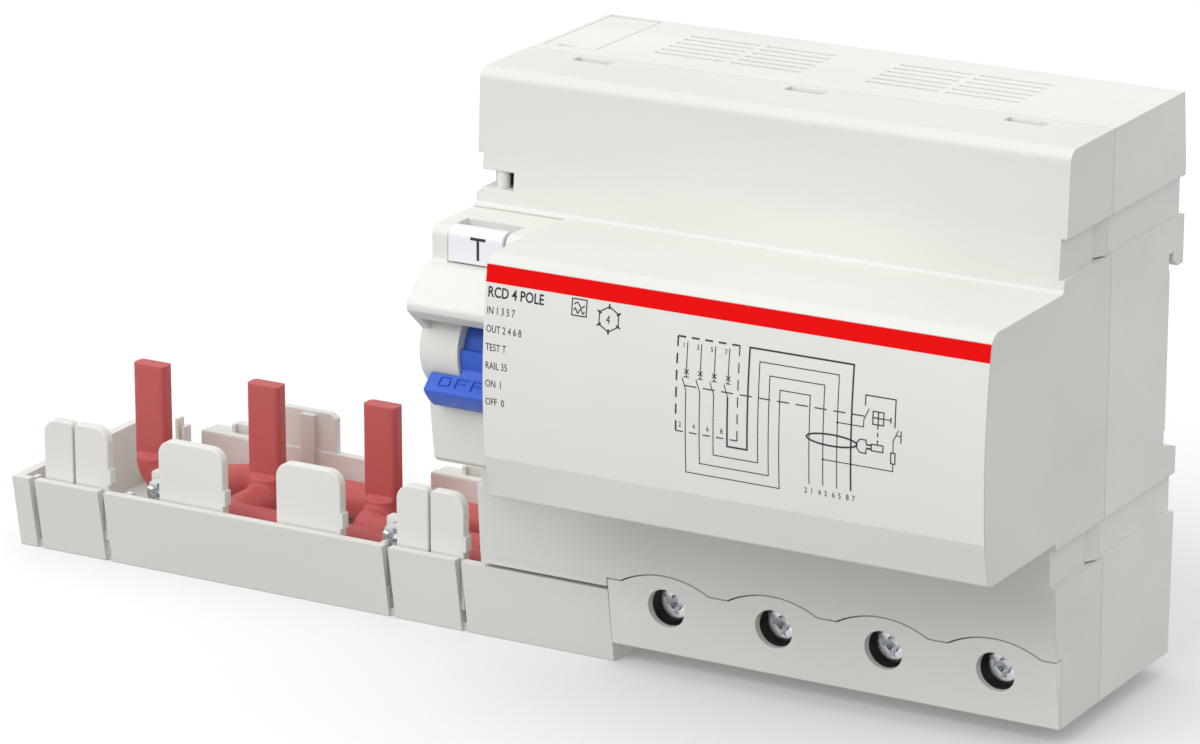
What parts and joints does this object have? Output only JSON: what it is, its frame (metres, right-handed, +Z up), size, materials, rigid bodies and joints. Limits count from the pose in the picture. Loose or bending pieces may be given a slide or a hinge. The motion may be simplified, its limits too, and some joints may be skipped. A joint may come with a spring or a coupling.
{
  "type": "residual current device",
  "caption": "Rail-mounted residual current block with a blue toggle, test button, wiring label, covered screw terminals and a side tray of upright conductors.",
  "frame": {"origin": "on the plane where the block seats on its rail, at the rail's centre line and the block's mid width", "axes": "+X to the right along the rail, +Y from the front towards the rail, +Z up"},
  "size_m": [0.2223, 0.0795, 0.1088],
  "materials": {
    "housing_rear": "fine textured moulding",
    "housing_front": "fine textured moulding",
    "label": "printed film",
    "button_white": "smooth",
    "toggle_blue": "satin",
    "steel": "bright drawn",
    "zinc_screw": "zinc plated",
    "cage_steel": "zinc plated",
    "copper": "rolled copper",
    "lead_red": "extruded insulation",
    "tray_plastic": "fine textured moulding",
    "latch_plastic": "smooth",
    "core_metal": "tape wound",
    "winding": "enamelled wire",
    "relay_case": "smooth",
    "board": "laminate",
    "component": "lacquered"
  },
  "bodies": {
    "root": {"access_pin": "steel", "aux_screws": "zinc_screw", "aux_terminal": "latch_plastic", "busbar_1": "copper", "busbar_2": "copper", "busbar_3": "copper", "busbar_4": "copper", "circuit_board": "board", "conductor_1": "lead_red", "conductor_2": "lead_red", "conductor_3": "lead_red", "conductor_4": "lead_red", "connection_tray": "tray_plastic", "controller_chip": "component", "front_housing": "housing_front", "label_sheet": "label", "latch_spring_left": "steel", "latch_spring_right": "steel", "rear_housing": "housing_rear", "sealing_post": "housing_front", "sense_winding": "winding", "shield_pair_left": "tray_plastic", "shield_pair_right": "tray_plastic", "shield_second": "tray_plastic", "shield_third": "tray_plastic", "surge_capacitor": "component", "terminal_cover": "housing_front", "test_resistor": "component", "test_spring": "steel", "toggle_housing": "housing_front", "toggle_shaft": "steel", "transformer_core": "core_metal", "tray_screws": "zinc_screw", "trip_pin": "steel", "trip_relay": "relay_case"},
    "toggle": {"toggle_lever": "toggle_blue"},
    "test_button": {"test_button": "button_white"},
    "access_cover": {"access_cover": "housing_front"},
    "trip_lever": {"trip_lever": "latch_plastic"},
    "relay_plunger": {"relay_plunger": "steel"},
    "latch_left": {"rail_latch_left": "latch_plastic"},
    "latch_right": {"rail_latch_right": "latch_plastic"},
    "screw_1": {"terminal_screw_1": "zinc_screw"},
    "clamp_1": {"cage_clamp_1": "cage_steel"},
    "screw_2": {"terminal_screw_2": "zinc_screw"},
    "clamp_2": {"cage_clamp_2": "cage_steel"},
    "screw_3": {"terminal_screw_3": "zinc_screw"},
    "clamp_3": {"cage_clamp_3": "cage_steel"},
    "screw_4": {"terminal_screw_4": "zinc_screw"},
    "clamp_4": {"cage_clamp_4": "cage_steel"}
  },
  "joints": [
    {"name": "toggle_turn", "type": "hinge", "parent": "root", "child": "toggle", "pos_m": [-0.0487, -0.0557, -0.0007], "axis": [-1, 0, 0], "range_deg": [0, 56]},
    {"name": "test_press", "type": "slide", "parent": "root", "child": "test_button", "axis": [0, 1, 0], "range_m": [0, 0.002], "stiffness_N_per_m": 600, "springref_m": -0.0008, "deforming": ["test_spring"]},
    {"name": "cover_swing", "type": "hinge", "parent": "root", "child": "access_cover", "pos_m": [-0.052, 0.0025, 0.0457], "axis": [1, 0, 0], "range_deg": [-100, 0]},
    {"name": "plunger_slide", "type": "slide", "parent": "root", "child": "relay_plunger", "axis": [-1, 0, 0], "range_m": [0, 0.002], "stiffness_N_per_m": 500, "springref_m": -0.0004},
    {"name": "trip_swing", "type": "hinge", "parent": "root", "child": "trip_lever", "pos_m": [-0.0452, -0.0306, 0.0055], "axis": [0, -1, 0], "range_deg": [0, 10]},
    {"name": "latch_left_slide", "type": "slide", "parent": "root", "child": "latch_left", "axis": [0, 0, -1], "range_m": [0, 0.0035], "stiffness_N_per_m": 900, "springref_m": -0.001, "deforming": ["latch_spring_left"]},
    {"name": "latch_right_slide", "type": "slide", "parent": "root", "child": "latch_right", "axis": [0, 0, -1], "range_m": [0, 0.0035], "stiffness_N_per_m": 900, "springref_m": -0.001, "deforming": ["latch_spring_right"]},
    {"name": "clamp_1_slide", "type": "slide", "parent": "root", "child": "clamp_1", "axis": [0, -1, 0], "range_m": [0, 0.004]},
    {"name": "screw_1_turn", "type": "hinge", "parent": "root", "child": "screw_1", "pos_m": [-0.0196, -0.035, -0.0493], "axis": [0, -1, 0], "range_deg": [0, 1805]},
    {"name": "clamp_2_slide", "type": "slide", "parent": "root", "child": "clamp_2", "axis": [0, -1, 0], "range_m": [0, 0.004]},
    {"name": "screw_2_turn", "type": "hinge", "parent": "root", "child": "screw_2", "pos_m": [0.0024, -0.035, -0.0493], "axis": [0, -1, 0], "range_deg": [0, 1805]},
    {"name": "clamp_3_slide", "type": "slide", "parent": "root", "child": "clamp_3", "axis": [0, -1, 0], "range_m": [0, 0.004]},
    {"name": "screw_3_turn", "type": "hinge", "parent": "root", "child": "screw_3", "pos_m": [0.0244, -0.035, -0.0493], "axis": [0, -1, 0], "range_deg": [0, 1805]},
    {"name": "clamp_4_slide", "type": "slide", "parent": "root", "child": "clamp_4", "axis": [0, -1, 0], "range_m": [0, 0.004]},
    {"name": "screw_4_turn", "type": "hinge", "parent": "root", "child": "screw_4", "pos_m": [0.0464, -0.035, -0.0493], "axis": [0, -1, 0], "range_deg": [0, 1805]}
  ],
  "couplings": [
    {"joint": "trip_swing", "follows": "plunger_slide", "rad_per_m": 83.333},
    {"joint": "screw_1_turn", "follows": "clamp_1_slide", "rad_per_m": 7854},
    {"joint": "screw_2_turn", "follows": "clamp_2_slide", "rad_per_m": 7854},
    {"joint": "screw_3_turn", "follows": "clamp_3_slide", "rad_per_m": 7854},
    {"joint": "screw_4_turn", "follows": "clamp_4_slide", "rad_per_m": 7854}
  ]
}
